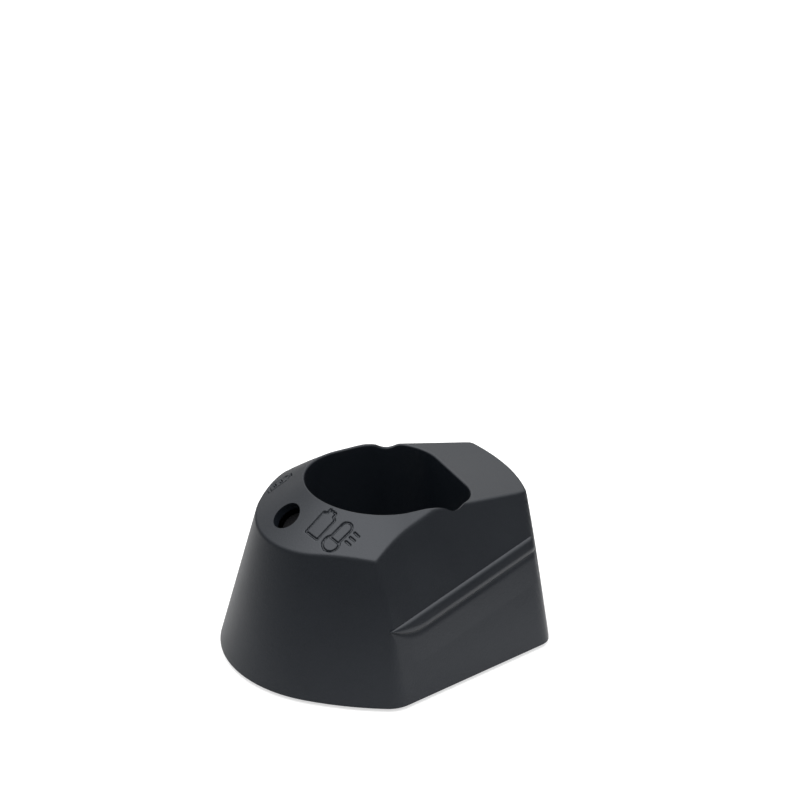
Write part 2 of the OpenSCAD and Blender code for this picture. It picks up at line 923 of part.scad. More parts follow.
module positive_blade() {
    color([0.85, 0.78, 0.5]) blade(0);
}

module negative_blade() {
    color([0.85, 0.78, 0.5]) blade(3);
}

module sense_blades() {
    color([0.85, 0.78, 0.5]) {
        blade(1);
        blade(2);
    }
}

// ---- Indicator ------------------------------------------------------------------------------

module status_led() {
    color([0.9, 0.9, 0.85])
        translate([0, -pipe_y, board_top]) {
            cylinder(h = diode_h - diode_d / 2, d = diode_d, $fn = 48);
            translate([0, 0, diode_h - diode_d / 2]) sphere(d = diode_d, $fn = 48);
            cylinder(h = module_lead * 2, d = diode_d + 2 * module_lead, $fn = 48);
        }
}

// Lens at the bottom of the indicator hole, on a pipe down to the diode
module light_pipe() {
    bottom = board_top + diode_h + seat_fit;
    color([0.75, 0.8, 0.8]) {
        at_indicator()
            translate([0, 0, -led_depth - lens_t])
                cylinder(h = lens_t, d = led_d - 2 * bore_fit, $fn = 64);
        intersection() {
            translate([0, -pipe_y, bottom])
                cylinder(h = led_z - bottom, d = pipe_d, $fn = 48);
            at_indicator()
                translate([-big / 2, -big / 2, -led_depth - lens_t / 2 - big])
                    cube(big);
        }
    }
}

upper_housing();
base_plate();
rubber_feet();
housing_screws();
circuit_board();
board_screws();
insulation_sheet();
mains_inlet();
inlet_pins();
fuse();
suppression_choke();
line_capacitor();
bridge_rectifier();
input_capacitor();
switching_transistor();
heat_sink();
transformer_core();
transformer_winding();
safety_capacitor();
optocoupler();
output_rectifier();
output_capacitors();
charge_controller();
terminal_block();
positive_blade();
negative_blade();
sense_blades();
status_led();
light_pipe();
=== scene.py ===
"""Desktop battery charger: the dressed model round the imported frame.

Metres, +Z up, -Y the nose with the indicator, +Y the rear with the mains inlet.
The housing is worked out in millimetres above its rim, and is lifted and scaled once,
when its mesh is made.
"""
import math

import bpy
import numpy as np
from mathutils import Matrix, Vector


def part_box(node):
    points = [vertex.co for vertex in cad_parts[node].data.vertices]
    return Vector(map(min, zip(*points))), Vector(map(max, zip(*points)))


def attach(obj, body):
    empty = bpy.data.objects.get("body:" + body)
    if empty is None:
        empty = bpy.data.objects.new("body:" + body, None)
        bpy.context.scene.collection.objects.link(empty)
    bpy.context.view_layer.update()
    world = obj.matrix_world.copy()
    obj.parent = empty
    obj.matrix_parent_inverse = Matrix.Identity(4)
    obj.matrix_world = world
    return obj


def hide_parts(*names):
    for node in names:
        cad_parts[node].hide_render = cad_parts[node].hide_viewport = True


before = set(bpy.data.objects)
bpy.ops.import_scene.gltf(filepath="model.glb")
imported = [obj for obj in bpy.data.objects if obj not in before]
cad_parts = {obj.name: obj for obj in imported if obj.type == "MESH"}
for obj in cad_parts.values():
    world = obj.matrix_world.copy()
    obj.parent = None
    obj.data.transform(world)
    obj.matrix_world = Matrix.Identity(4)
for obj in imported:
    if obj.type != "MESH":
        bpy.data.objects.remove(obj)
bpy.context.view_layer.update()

MM = 0.001

# ---- The housing's sizes, in millimetres ------------------------------------------------

RIM = 0.8                                      # the rim's height above the table
WALL = 2.2                                     # thickness of the shell
DRAFT = math.radians(14.7)                     # of nose, flanks and side panels
NOSE_R, NOSE_Y = 32.0, -9.0                    # the nose's arc and its centre
NOSE_HALF = math.radians(43)                   # where the flanks' arcs take over
FLANK_R = 73.0
SIDE_D, SIDE_A = 32.5, math.radians(12.5)      # side panels: distance and plan angle
UPPER_D, UPPER_A = 34.65, math.radians(11.9)   # the same for the upper panels
UPPER_LEAN = math.radians(20)
REAR_R, REAR_Y, REAR_DRAFT = 50.0, -9.0, math.radians(8)
ROOF_H, ROOF_A = 43.1, math.radians(9)         # rear roof: height over y = 0, and fall
CONE_H, CONE_Y, CONE_A = 55.2, -2.9, math.radians(35)     # the cone's point and slope
WELL_FRONT_R, WELL_Y = 17.5, -1.2              # the well's front arc
LOBE_R, LOBE_X, LOBE_Y = 10.0, 7.8, 9.6        # and its two rear lobes
WELL_WALL = 2.0
WELL_FLOOR, WELL_FLOOR_T = 17.2, 1.8
WELL_UNDER = WELL_FLOOR - WELL_FLOOR_T
LED_Y, LED_D, LED_DEPTH = 25.7, 7.6, 4.0       # the indicator hole

# Upright corners: radius at the rim, what it loses per millimetre of height, its least
# value, and one less the cosine of the angle between the two faces
NOSE_CORNER = (8.0, 0.3, 1.8, 0.245)
REAR_CORNER = (4.6, 0.06, 2.6, 0.31)

# Widths of the other edges' roundings
CREASE_SOFT = 0.03                             # between side and upper panels
GABLE_SOFT = 0.15                              # between cone and rear roof
EAVES_SOFT = 0.35                              # between roof and walls
EAVES_REAR, EAVES_RUN = 0.25, 20.0             # what the rear adds, over this length
LIP = 0.5                                      # radius of the well's mouth
WELL_FILLET = 0.8                              # radius at the foot of the well's wall
RIM_EDGE = 0.45                                # radius of the rim's outer edge


# ---- The housing's form as depths below its faces ---------------------------------------

def nose_depth(x, y, z):
    """Depth inside the drafted nose and flanks: arc radius less the distance to the
    arc's centre, the nose arc inside its sector and the flank arc outside it."""
    reach = FLANK_R - NOSE_R
    fx, fy = reach * math.sin(NOSE_HALF), NOSE_Y + reach * math.cos(NOSE_HALF)
    turn = np.arctan2(np.abs(x), NOSE_Y - y)
    nose = NOSE_R - np.hypot(x, y - NOSE_Y)
    flank = FLANK_R - np.hypot(np.abs(x) + fx, y - fy)
    plan = np.where(turn < NOSE_HALF, nose, flank)
    return (plan - z * math.tan(DRAFT)) * math.cos(DRAFT)


def side_depth(x, y, z):
    """Depth behind the lower side panels, drafted planes that close in to the rear."""
    plan = SIDE_D - np.abs(x) * math.cos(SIDE_A) - y * math.sin(SIDE_A)
    return (plan - z * math.tan(DRAFT)) * math.cos(DRAFT)


def upper_depth(x, y, z):
    """Depth behind the upper side panels, planes that lean in further."""
    plan = UPPER_D - np.abs(x) * math.cos(UPPER_A) - y * math.sin(UPPER_A)
    return plan * math.cos(UPPER_LEAN) - z * math.sin(UPPER_LEAN)


def rear_depth(x, y, z):
    """Depth inside the rear wall, a shallow drafted arc."""
    plan = REAR_R - np.hypot(x, y - REAR_Y)
    return (plan - z * math.tan(REAR_DRAFT)) * math.cos(REAR_DRAFT)


def roof_depth(x, y, z):
    """Depth below the rear roof plane, which falls to the rear."""
    return (ROOF_H - z) * math.cos(ROOF_A) - y * math.sin(ROOF_A)


def cone_depth(x, y, z):
    """Depth below the indicator cone, carried on to the rear as a gable."""
    back = y - CONE_Y
    out = np.where(back < 0, np.hypot(x, back), np.abs(x))
    return (CONE_H - z) * math.cos(CONE_A) - out * math.sin(CONE_A)


def blend_min(a, b, width):
    """The lesser of a and b, less a parabola where they differ by under the width."""
    near = np.maximum(width - np.abs(a - b), 0) / width
    return np.minimum(a, b) - near * near * width / 4


def corner_width(z, radius, loss, least, turn):
    """Width of an upright corner's rounding: its radius at that height, times one less
    the cosine of the angle between its faces."""
    return np.clip(radius - loss * z, least, radius) * turn


def form_depth(x, y, z):
    """Depth inside the whole form: the least of its faces' depths, with each edge
    rounded over its own width."""
    side = blend_min(side_depth(x, y, z), upper_depth(x, y, z), CREASE_SOFT)
    wall = blend_min(nose_depth(x, y, z), side, corner_width(z, *NOSE_CORNER))
    wall = blend_min(wall, rear_depth(x, y, z), corner_width(z, *REAR_CORNER))
    roof = blend_min(cone_depth(x, y, z), roof_depth(x, y, z), GABLE_SOFT)
    return blend_min(wall, roof, EAVES_SOFT + EAVES_REAR * np.clip(y / EAVES_RUN, 0, 1))


def well_depth(x, y):
    """Depth inside the well's outline: the hull of one front arc and two lobes, read
    from the arc or the touching line beside the point."""
    ax = np.abs(x)
    reach = math.hypot(LOBE_X, LOBE_Y - WELL_Y)
    turn = math.atan2(LOBE_Y - WELL_Y, LOBE_X) - math.acos((WELL_FRONT_R - LOBE_R) / reach)
    nx, ny = math.cos(turn), math.sin(turn)
    front = WELL_FRONT_R - np.hypot(ax, y - WELL_Y)
    lobe = LOBE_R - np.hypot(ax - LOBE_X, y - LOBE_Y)
    flat = WELL_FRONT_R - (ax * nx + (y - WELL_Y) * ny)
    along = -ax * ny + (y - WELL_Y) * nx
    lobe_along = -LOBE_X * ny + (LOBE_Y - WELL_Y) * nx
    back = LOBE_R - (y - LOBE_Y)
    depth = np.where(along < 0, front, np.where(along < lobe_along, flat, lobe))
    return np.where((ax < LOBE_X) & (y > LOBE_Y), back, depth)


# ---- Engraved pictograms, in the unrolled plane of the indicator cone -------------------

STROKE = 0.36                                  # half of a stroke's width
STROKE_FLAT = 0.35                             # share of it that is cut to full depth
ENGRAVE = 0.42                                 # depth of a stroke
FACE_NEAR = 0.25                               # the engraving keeps this near the cone
FADE_FROM, FADE_OVER = 0.3, 0.5                # and fades out this far inside the walls

BATTERY_AT, BATTERY_TURN = (10.07, -23.1), math.radians(7)
BATTERY_W, BATTERY_L = 4.1, 7.9
NECK_L, NECK_SLOPE = 1.5, 0.5                  # neck with its shoulder, shoulder alone

THERMO_AT, THERMO_TURN = (16.0, -25.0), math.radians(6.5)
BULB_R, STEM_R, STEM_L = 2.1, 1.4, 6.9         # the stem's length from the bulb's middle
LEVEL = 1.2                                    # of the liquid, above the bulb's middle
MARKS, MARK_AT, MARK_STEP = 3, 2.8, 1.52       # heat marks: number, first one, spacing
MARK_IN, MARK_OUT, MARK_BOLD = 2.5, 3.9, 0.03  # their two ends, and what they are bolder

CHARGE_AT, CHARGE_TURN = (16.6, -23.0), math.radians(8)
CHARGE_L, CHARGE_BOLD, CHARGE_DEEP = 6.4, 0.2, 1.7    # shorter, bolder and deeper
BARS_AT, BAR_HALF, BAR_THIN = (-1.4, 0.4), 0.9, 0.1


def unrolled(x, y):
    """Plan point to the cone's unrolled plane: slant distance from the point of the
    cone, at the plan angle times the slope's cosine."""
    back = y - CONE_Y
    slant = np.hypot(x, back) / math.cos(CONE_A)
    turn = np.arctan2(x, -back) * math.cos(CONE_A)
    return slant * np.sin(turn), -slant * np.cos(turn)


def local(u, v, at, turn):
    """Unrolled plane to a pictogram's own axes: moved to its place and turned."""
    c, s = math.cos(turn), math.sin(turn)
    du, dv = u - at[0], v - at[1]
    return du * c + dv * s, -du * s + dv * c


def arc(cx, cy, r, start, end, count):
    """Points of an arc, angles in degrees."""
    a = np.radians(np.linspace(start, end, count))
    return np.stack([cx + r * np.cos(a), cy + r * np.sin(a)], axis=1)


def stroke_distance(u, v, points, closed=False):
    """Distance to a line of straight strokes, as the least over its pieces."""
    pts = np.asarray(points, float)
    ends = np.roll(pts, -1, axis=0) if closed else pts[1:]
    best = np.full(np.shape(u), np.inf)
    for (ax, ay), (bx, by) in zip(pts, ends):
        dx, dy = bx - ax, by - ay
        t = np.clip(((u - ax) * dx + (v - ay) * dy) / (dx * dx + dy * dy), 0, 1)
        best = np.minimum(best, np.hypot(u - ax - t * dx, v - ay - t * dy))
    return best


def battery_outline(length):
    """Corners of a battery with its neck at the top, round the middle."""
    w, top = BATTERY_W / 2, length / 2
    shoulder = top - NECK_L
    return [(-w, -top), (w, -top), (w, shoulder), (w / 2, shoulder + NECK_SLOPE),
            (w / 2, top), (-w / 2, top), (-w / 2, shoulder + NECK_SLOPE), (-w, shoulder)]


def right_strokes(u, v):
    """Distance to the strokes on the right: a battery, and a thermometer with three
    heat marks."""
    p, q = local(u, v, BATTERY_AT, BATTERY_TURN)
    battery = stroke_distance(p, q, battery_outline(BATTERY_L), closed=True)
    p, q = local(u, v, THERMO_AT, THERMO_TURN)
    gap = math.degrees(math.asin(STEM_R / BULB_R))
    bulb = arc(0, 0, BULB_R, 90 + gap, 450 - gap, 26)
    stem = arc(0, STEM_L - STEM_R, STEM_R, 0, 180, 12)
    glass = stroke_distance(p, q, np.vstack([bulb, stem]), closed=True)
    level = stroke_distance(p, q, [(-STEM_R, LEVEL), (STEM_R, LEVEL)])
    marks = [stroke_distance(p, q, [(MARK_IN, at), (MARK_OUT, at)]) - MARK_BOLD
             for at in MARK_AT + MARK_STEP * np.arange(MARKS)]
    return np.minimum.reduce([battery, glass, level, *marks])


def left_strokes(u, v):
    """Distance to the strokes on the left: a battery with two charge bars."""
    p, q = local(-u, v, CHARGE_AT, CHARGE_TURN)
    battery = stroke_distance(p, q, battery_outline(CHARGE_L), closed=True)
    bars = [stroke_distance(p, q, [(-BAR_HALF, at), (BAR_HALF, at)]) + BAR_THIN
            for at in BARS_AT]
    return np.minimum.reduce([battery, *bars]) - CHARGE_BOLD


def groove(distance):
    """Depth of a rounded groove: full over the flat share of a stroke's half width,
    then a smooth step to nought at its edge."""
    t = np.clip(1 - (distance - STROKE * STROKE_FLAT) / (STROKE * (1 - STROKE_FLAT)), 0, 1)
    return ENGRAVE * t * t * (3 - 2 * t)


def pictogram_depth(x, y, z):
    """Depth of the engraving, faded out evenly towards the face's edge."""
    u, v = unrolled(x, y)
    depth = np.maximum(groove(right_strokes(u, v)),
                       CHARGE_DEEP * groove(left_strokes(u, v)))
    wall = np.minimum(nose_depth(x, y, z), side_depth(x, y, z))
    return depth * np.clip((wall - FADE_FROM) / FADE_OVER, 0, 1)


def engraved(x, y, z):
    """The skin's points, sunk along the cone's normal by the engraving's depth where
    they lie on the indicator face."""
    depth = pictogram_depth(x, y, z) * (cone_depth(x, y, z) < FACE_NEAR)
    back = y - CONE_Y
    out = np.maximum(np.hypot(x, back), 1e-6)
    normal = np.stack([x / out * math.sin(CONE_A), back / out * math.sin(CONE_A),
                       np.full(np.shape(x), math.cos(CONE_A))], axis=-1)
    return np.stack([x, y, z], axis=-1) - normal * depth[..., None]


# ---- Mesh helpers -----------------------------------------------------------------------

def new_object(name, verts, faces, smooth=True):
    """A mesh object from an array of points in millimetres and a list of faces."""
    mesh = bpy.data.meshes.new(name)
    mesh.from_pydata((np.asarray(verts) * MM).tolist(), [], faces)
    mesh.update()
    mesh.polygons.foreach_set("use_smooth", [smooth] * len(mesh.polygons))
    obj = bpy.data.objects.new(name, mesh)
    bpy.context.scene.collection.objects.link(obj)
    return obj


def grid_faces(rows, cols, wrap=True):
    """Quads of a grid of rows by cols points, closed round its columns if wrapped."""
    i = np.arange(rows - 1)[:, None]
    j = np.arange(cols if wrap else cols - 1)[None, :]
    k = (j + 1) % cols
    a, b = i * cols + j, i * cols + k
    return np.stack([a, b, b + cols, a + cols], axis=-1).reshape(-1, 4)


def fan_faces(row_start, cols, centre):
    """Triangles from one closed row of points to a single point."""
    j = np.arange(cols)
    k = (j + 1) % cols
    return np.stack([row_start + j, row_start + k, np.full(cols, centre)], axis=-1)


def circle_ring(r, count):
    """Plan points evenly round a circle."""
    a = np.linspace(0, 2 * math.pi, count, endpoint=False)
    return np.stack([r * np.cos(a), r * np.sin(a)], axis=1)


def rect_ring(w, l, r=0.0):
    """A rectangle's outline, its corners plain or rounded with quarter circles."""
    if r <= 0:
        return np.array([(-w / 2, -l / 2), (w / 2, -l / 2), (w / 2, l / 2), (-w / 2, l / 2)])
    corners = ((1, -1, -90), (1, 1, 0), (-1, 1, 90), (-1, -1, 180))
    return np.vstack([arc(sx * (w / 2 - r), sy * (l / 2 - r), r, a, a + 90, 5)
                      for sx, sy, a in corners])


def placed(origin, x_axis, y_axis, z_axis, along):
    """A 3x4 placement, its origin moved along its own z axis: three columns of axes and
    one of the place."""
    o = np.asarray(origin, float) + np.asarray(z_axis, float) * along
    return np.column_stack([x_axis, y_axis, z_axis, o])


def sweep_solid(name, outline, stations):
    """A closed solid: the same outline of plan points put at each placement, capped."""
    n = len(outline)
    flat = np.column_stack([outline, np.zeros(n), np.ones(n)])
    verts = np.vstack([flat @ m.T for m in stations])
    faces = grid_faces(len(stations), n).tolist()
    faces.append(list(range(n))[::-1])
    faces.append(list(range(n * (len(stations) - 1), n * len(stations))))
    return new_object(name, verts, faces, smooth=False)


def boolean_cut(obj, cutters):
    """Cuts closed meshes out of obj, keeps the result as plain mesh and removes the
    cutters."""
    for cutter in cutters:
        mod = obj.modifiers.new("cut", "BOOLEAN")
        mod.operation, mod.solver, mod.object = "DIFFERENCE", "MANIFOLD", cutter
    graph = bpy.context.evaluated_depsgraph_get()
    result = bpy.data.meshes.new_from_object(obj.evaluated_get(graph))
    obj.modifiers.clear()
    old, obj.data = obj.data, result
    bpy.data.meshes.remove(old)
    for cutter in cutters:
        mesh = cutter.data
        bpy.data.objects.remove(cutter)
        bpy.data.meshes.remove(mesh)


# ---- The housing ------------------------------------------------------------------------
# Its shell is a grid: columns all round the hub, an upright line through the well, and
# rows from the middle of the well's floor over the outside to the middle below it.

COLS = 520
HUB_X, HUB_Y = 0.0, -6.0
CORE_Z = 12.0                                  # height on the hub that the rays start at
PLAN_FAR, RAY_FAR = 60.0, 90.0                 # beyond the form in plan and along a ray
Z_LOW, Z_HIGH = -30.0, 60.0                    # beyond it in height
HALVINGS = 44
NOSE_DENSE, NOSE_FADE = 1.5, 9                 # more columns round the nose: how many
NOSE_SPREAD = math.radians(72)                 # more, how fast that ends, and where
FLOOR_SHARES = (0.25, 0.5, 0.75)               # rows on the well's floor
FILLET_STEPS, WELL_STEPS, LIP_STEPS = 4, 13, 5
ROOF_ROWS, WALL_ROWS = 78, 56
ROOF_EVEN, ROOF_POWER = 0.72, 3                # share of even spacing, and the power of
WALL_EVEN, WALL_POWER = 0.55, 2.4              # the rest, which packs rows at the eaves
EAVES_STEPS = 600                              # in the search for the eaves
RIM_STEPS, INNER_STEPS = 3, 11

BORE_SIDES = 96
BORE_PAST, SLOT_PAST = 3.0, 1.0                # how far cutters stand out at both ends
SLOT_W, SLOT_L, SLOTS = 1.2, 5.4, 4
POCKET_ROOM, POCKET_R, POCKET_END = 0.4, 0.5, 60.0    # the inlet's pocket
SHARP_FROM = math.radians(38)


def column_directions():
    """Plan directions of the grid's columns: even steps of a weight that is summed round
    the hub and is greater about the nose, fading as a logistic curve."""
    a = np.linspace(-math.pi, math.pi, 20001)
    nose = 1 / (1 + np.exp((np.abs(a) - NOSE_SPREAD) * NOSE_FADE))
    weight = np.cumsum(1 + NOSE_DENSE * nose)
    weight = (weight - weight[0]) / (weight[-1] - weight[0])
    turn = np.interp(np.arange(COLS) / COLS, weight, a)
    return np.sin(turn), -np.cos(turn)


COL_X, COL_Y = column_directions()


def solve(inside, low, high, shape=COLS):
    """Where inside(t) falls through nought between low and high, by halving, for an
    array of the given shape."""
    low, high = np.full(shape, low), np.full(shape, high)
    for _ in range(HALVINGS):
        mid = (low + high) / 2
        good = inside(mid) > 0
        low, high = np.where(good, mid, low), np.where(good, high, mid)
    return (low + high) / 2


def quarter(steps):
    """Turns of a quarter circle in even steps."""
    return np.linspace(0, math.pi / 2, steps + 1)


def column_plan(reach):
    """The columns' plan points at a distance from the hub."""
    return HUB_X + COL_X * reach, HUB_Y + COL_Y * reach


def ring(reach, height):
    """A row of the grid at a distance from the hub and at a height."""
    x, y = column_plan(reach)
    return np.stack([x, y, np.broadcast_to(height, COLS)], axis=-1)


def well_reach(grow=0.0):
    """Distance from the hub to the well's outline, grown outwards."""
    return solve(lambda t: well_depth(*column_plan(t)) + grow, 0.0, PLAN_FAR)


def rim_reach(inset=0.0):
    """Distance from the hub to the form's outline at the rim, set in."""
    return solve(lambda t: form_depth(*column_plan(t), 0.0) - inset, 0.0, PLAN_FAR)


def roof_height(reach, inset=0.0):
    """Height of the form's surface, set in, at a distance from the hub."""
    x, y = column_plan(reach)
    return solve(lambda z: form_depth(x, y, z) - inset, Z_LOW, Z_HIGH)


def tilt_to(reach, height):
    """Tilt of the ray from the core to a distance from the hub and a height."""
    return np.arctan2(height - CORE_Z, reach)


def surface_points(tilt, inset=0.0):
    """Where rays from the core, one to each column and tilt, leave the form set in."""
    dx, dy, dz = np.cos(tilt) * COL_X, np.cos(tilt) * COL_Y, np.sin(tilt)

    def point(r):
        """The point at a distance along each ray."""
        return HUB_X + r * dx, HUB_Y + r * dy, CORE_Z + r * dz

    reach = solve(lambda r: form_depth(*point(r)) - inset, 0.0, RAY_FAR, tilt.shape)
    return point(reach)


def well_rows():
    """The well from its middle: a flat floor, a quarter circle at the wall's foot, the
    upright wall, and a quarter circle of lip up to the roof."""
    wall, lip_z = well_reach(), roof_height(well_reach(LIP))
    rows = [ring(wall * share, WELL_FLOOR) for share in FLOOR_SHARES]
    for t in quarter(FILLET_STEPS):
        rows.append(ring(well_reach(-WELL_FILLET * (1 - math.sin(t))),
                         WELL_FLOOR + WELL_FILLET * (1 - math.cos(t))))
    for t in np.linspace(0, 1, WELL_STEPS + 1)[1:]:
        rows.append(ring(wall, (WELL_FLOOR + WELL_FILLET) * (1 - t) + (lip_z - LIP) * t))
    for t in quarter(LIP_STEPS)[1:-1]:
        rows.append(ring(well_reach(LIP * (1 - math.cos(t))),
                         lip_z - LIP * (1 - math.sin(t))))
    return rows


def skin_rows():
    """Roof and walls: rays tilted from the lip down to the rim. The eaves lie where the
    walls' faces come nearer than the roof's, and rows are packed on both sides of them."""
    lip_reach = well_reach(LIP)
    lip = tilt_to(lip_reach, roof_height(lip_reach))
    rim = tilt_to(rim_reach(), RIM_EDGE)
    t = np.linspace(0, 1, EAVES_STEPS + 1)[:, None]
    x, y, z = surface_points(lip + (rim - lip) * t)
    roof = np.minimum(cone_depth(x, y, z), roof_depth(x, y, z))
    wall = np.minimum.reduce([nose_depth(x, y, z), side_depth(x, y, z),
                              upper_depth(x, y, z), rear_depth(x, y, z)])
    eaves = lip + (rim - lip) * ((roof < wall).sum(axis=0) - 0.5) / EAVES_STEPS
    t = np.linspace(0, 1, ROOF_ROWS)[:, None]
    t = ROOF_EVEN * t + (1 - ROOF_EVEN) * (1 - (1 - t) ** ROOF_POWER)
    roof_tilt = lip + (eaves - lip) * t
    t = np.linspace(0, 1, WALL_ROWS)[1:, None]
    t = WALL_EVEN * t + (1 - WALL_EVEN) * t ** WALL_POWER
    wall_tilt = eaves + (rim - eaves) * t
    return engraved(*surface_points(np.vstack([roof_tilt, wall_tilt])))


def rim_rows():
    """The rim: a quarter circle on its outer edge, and the flat to its inner one."""
    rows = []
    for t in quarter(RIM_STEPS)[1:]:
        inset = RIM_EDGE * (1 - math.cos(t)) * math.cos(DRAFT)
        rows.append(ring(rim_reach(inset), RIM_EDGE * (1 - math.sin(t))))
    rows.append(ring(rim_reach(WALL), 0.0))
    return rows


def inner_rows():
    """Inner walls and ceiling, the form set in by the wall, as far as the well; then
    down the well's outside and along below its floor to the middle."""
    outside = well_reach(WELL_WALL)
    top = roof_height(outside, WALL)
    low, high = tilt_to(rim_reach(WALL), 0.0), tilt_to(outside, top)
    tilt = low + (high - low) * np.linspace(0, 1, INNER_STEPS + 1)[1:, None]
    rows = list(np.stack(surface_points(tilt, WALL), axis=-1))
    for share in (0.5, 1.0):
        rows.append(ring(outside, top * (1 - share) + WELL_UNDER * share))
    rows += [ring(outside * share, WELL_UNDER) for share in FLOOR_SHARES[::-1]]
    return rows


def indicator_bore():
    """A round cutter along the cone's normal on the midline."""
    s, c = math.sin(CONE_A), math.cos(CONE_A)
    height = CONE_H - (LED_Y + CONE_Y) * math.tan(CONE_A)
    return sweep_solid("bore", circle_ring(LED_D / 2, BORE_SIDES), [
        placed((0, -LED_Y, height + RIM), (1, 0, 0), (0, c, s), (0, -s, c), along)
        for along in (-LED_DEPTH - BORE_PAST, BORE_PAST)])


def box_middle(name):
    """Middle of a node's box, in millimetres."""
    low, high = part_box(name)
    return np.add(low, high) / 2 / MM


def blade_slots():
    """Upright cutters through the well's floor, evenly from one outer blade's middle to
    the other's."""
    plus, minus = box_middle("positive_blade"), box_middle("negative_blade")
    first, last = sorted((plus[0], minus[0]))
    ends = (RIM + WELL_UNDER - SLOT_PAST, RIM + WELL_FLOOR + SLOT_PAST)
    return [sweep_solid("slot", rect_ring(SLOT_W, SLOT_L), [
        placed((x, plus[1], 0), (1, 0, 0), (0, 1, 0), (0, 0, 1), height)
        for height in ends]) for x in np.linspace(first, last, SLOTS)]


def inlet_pocket():
    """A cutter round the mains inlet with some room, from its inner face out through the
    rear wall."""
    low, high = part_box("mains_inlet")
    w, h = [(high[i] - low[i]) / MM + POCKET_ROOM for i in (0, 2)]
    mid = box_middle("mains_inlet")
    return sweep_solid("pocket", rect_ring(w, h, POCKET_R), [
        placed((mid[0], 0, mid[2]), (-1, 0, 0), (0, 0, 1), (0, 1, 0), along)
        for along in (low[1] / MM, POCKET_END)])


def housing_shell():
    """Well, skin, rim and inner walls as one closed shell, with the indicator hole, the
    blades' slots and the inlet's pocket cut through it."""
    rows = np.vstack([well_rows(), skin_rows(), rim_rows(), inner_rows()])
    n = len(rows)
    poles = [(HUB_X, HUB_Y, WELL_FLOOR), (HUB_X, HUB_Y, WELL_UNDER)]
    verts = np.vstack([rows.reshape(-1, 3), poles]) + (0, 0, RIM)
    faces = (grid_faces(n, COLS).tolist()
             + fan_faces(0, COLS, n * COLS)[:, ::-1].tolist()
             + fan_faces((n - 1) * COLS, COLS, n * COLS + 1).tolist())
    obj = new_object("housing_shell", verts, faces)
    boolean_cut(obj, [indicator_bore(), *blade_slots(), inlet_pocket()])
    mesh = obj.data
    mesh.polygons.foreach_set("use_smooth", [True] * len(mesh.polygons))
    mesh.set_sharp_from_angle(angle=SHARP_FROM)
    return obj


# ---- Side ribs --------------------------------------------------------------------------
# Places on the upper panel are given to the rear along it, up it and out of it.

RIB_TIP, RIB_UP = 19.6, 8.5                    # the tip, to the front and up the panel
RIB_RISE = math.radians(10.4)
RIB_W, RIB_LEAST = 4.3, 0.02                   # its width, and the share left at the tip
BOW_L, BOW_POWER = 2.7, 2.2                    # the bow's length in widths, its curve
RIB_TOP_R, RIB_TOP_ARC = 1.46, math.radians(52)       # rounding of the upper edge
RIB_LOW_R, RIB_LOW_ARC = 2.1, math.radians(56)        # and of the lower one
RIB_SHRINK = 1.2                               # times both arcs' width: less, it shrinks
RIB_ROOT = 1.6                                 # depth of the upper edge's root
RIB_END, RIB_FALL, RIB_DROP = 28.5, 1.6, 0.7   # the rear end, over what length it falls
RIB_CLOSE, CLOSE_DROP = 0.02, 2.2              # and how far; then a last drop closes it
SWELL_L, SWELL_H = 1.4, 0.16                   # the side panel's swelling below the rib
SKIRT_L, SKIRT_SINK = 8.0, 0.015               # which sinks into the panel down here
SKIRT_AT = np.array([SKIRT_L, 6.5, 5.0, 3.8, 2.8, 2.1, 1.6, 1.2, 0.9, 0.6, 0.35, 0.15, 0.0])
RIB_STATIONS, STATION_POWER = 150, 1.6         # closer at the tip
FALL_STATIONS, FALL_START = 8, 0.2
LOW_POINTS, TOP_POINTS = 12, 10                # on the arcs of the section


def panel_point(along, up, out=0.0):
    """A place on the right upper panel as a point: out of the plane at its lean, then
    turned by its plan angle."""
    foot = UPPER_D * math.cos(UPPER_LEAN) + out
    reach = foot * math.cos(UPPER_LEAN) - up * math.sin(UPPER_LEAN)
    z = foot * math.sin(UPPER_LEAN) + up * math.cos(UPPER_LEAN)
    return (reach * math.cos(UPPER_A) - along * math.sin(UPPER_A),
            reach * math.sin(UPPER_A) + along * math.cos(UPPER_A), z)


def rib_stations():
    """Places along the rib: a power curve from the tip, the cosines of even turns round
    the rear end, and one more that closes it."""
    share = np.linspace(0, 1, RIB_STATIONS) ** STATION_POWER
    body = -RIB_TIP + share * (RIB_END - RIB_FALL + RIB_TIP)
    fall = RIB_END - RIB_FALL * np.cos(np.linspace(FALL_START, math.pi / 2, FALL_STATIONS))
    return np.concatenate([body, fall, [RIB_END + RIB_CLOSE]])


def rib_section(shrink):
    """The section at each station as heights above the lower edge, depths below the
    upper one, and how far both stand out. It climbs out of the face over a wide arc,
    runs flat and falls over a tighter one, both level where they meet the flat."""
    low_turn = np.linspace(RIB_LOW_ARC, 0, LOW_POINTS)
    top_turn = np.linspace(0, RIB_TOP_ARC, TOP_POINTS)
    low_w, top_w = RIB_LOW_R * math.sin(RIB_LOW_ARC), RIB_TOP_R * math.sin(RIB_TOP_ARC)
    low = low_w - RIB_LOW_R * np.sin(low_turn)
    top = np.append(top_w - RIB_TOP_R * np.sin(top_turn), 0)
    sink = np.concatenate([RIB_LOW_R * (1 - np.cos(low_turn)),
                           RIB_TOP_R * (1 - np.cos(top_turn)), [RIB_ROOT]])
    proud = RIB_TOP_R * (1 - math.cos(RIB_TOP_ARC))
    out = (proud - sink[:, None]) * np.sqrt(shrink)
    return low[:, None] * shrink, top[:, None] * shrink, out


def skirt_swell():
    """How far the side panel swells out below the rib: up a parabola, then evenly back,
    less a little that sinks its end into the panel."""
    rise = SWELL_H * (1 - (1 - SKIRT_AT / SWELL_L) ** 2)
    back = SWELL_H * (SKIRT_L - SKIRT_AT) / (SKIRT_L - SWELL_L)
    return np.where(SKIRT_AT < SWELL_L, rise, back) - SKIRT_SINK


